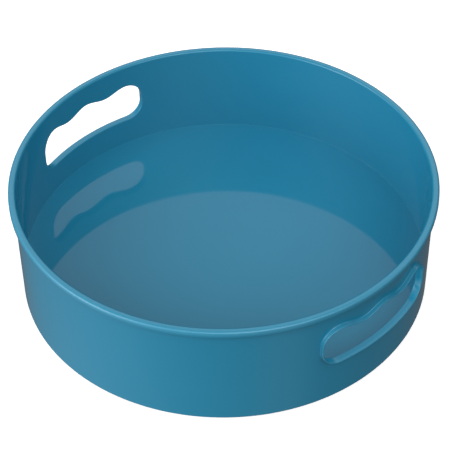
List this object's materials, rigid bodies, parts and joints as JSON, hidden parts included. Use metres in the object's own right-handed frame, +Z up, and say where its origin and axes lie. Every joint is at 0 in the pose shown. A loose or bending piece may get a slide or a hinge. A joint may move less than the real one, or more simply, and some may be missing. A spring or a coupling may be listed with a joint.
{
  "type": "turntable storage bin",
  "caption": "Low round turntable storage bin in glossy blue plastic, with wavy hand-holes on opposite sides, turning on a ball race over a hidden base plate with rubber feet.",
  "frame": {"origin": "on the surface that the bin stands on, under the centre of the round tub", "axes": "+Z up along the axis that the tub turns about, +X through the middle of one hand-hole, +Y midway between the hand-holes"},
  "size_m": [0.29, 0.29, 0.0848],
  "materials": {
    "tub_plastic": "mirror gloss moulding",
    "base_plastic": "satin moulding",
    "cage_plastic": "natural moulding",
    "ball_steel": "polished",
    "fastener_steel": "zinc plated",
    "foot_rubber": "matt"
  },
  "bodies": {
    "base": {"base_plate": "base_plastic", "foot_1": "foot_rubber", "foot_2": "foot_rubber", "foot_3": "foot_rubber", "foot_4": "foot_rubber", "foot_5": "foot_rubber", "foot_6": "foot_rubber"},
    "tub": {"tub": "tub_plastic", "pivot_screw": "fastener_steel", "pivot_washer": "fastener_steel"},
    "cage": {"ball_cage": "cage_plastic", "ball_01": "ball_steel", "ball_02": "ball_steel", "ball_03": "ball_steel", "ball_04": "ball_steel", "ball_05": "ball_steel", "ball_06": "ball_steel", "ball_07": "ball_steel", "ball_08": "ball_steel", "ball_09": "ball_steel", "ball_10": "ball_steel", "ball_11": "ball_steel", "ball_12": "ball_steel", "ball_13": "ball_steel", "ball_14": "ball_steel", "ball_15": "ball_steel", "ball_16": "ball_steel"}
  },
  "joints": [
    {"name": "tub_spin", "type": "hinge", "parent": "base", "child": "tub", "pos_m": [0, 0, 0], "axis": [0, 0, 1], "continuous": true},
    {"name": "cage_spin", "type": "hinge", "parent": "base", "child": "cage", "pos_m": [0, 0, 0], "axis": [0, 0, 1], "continuous": true}
  ],
  "couplings": [
    {"joint": "cage_spin", "follows": "tub_spin", "ratio": 0.5}
  ]
}
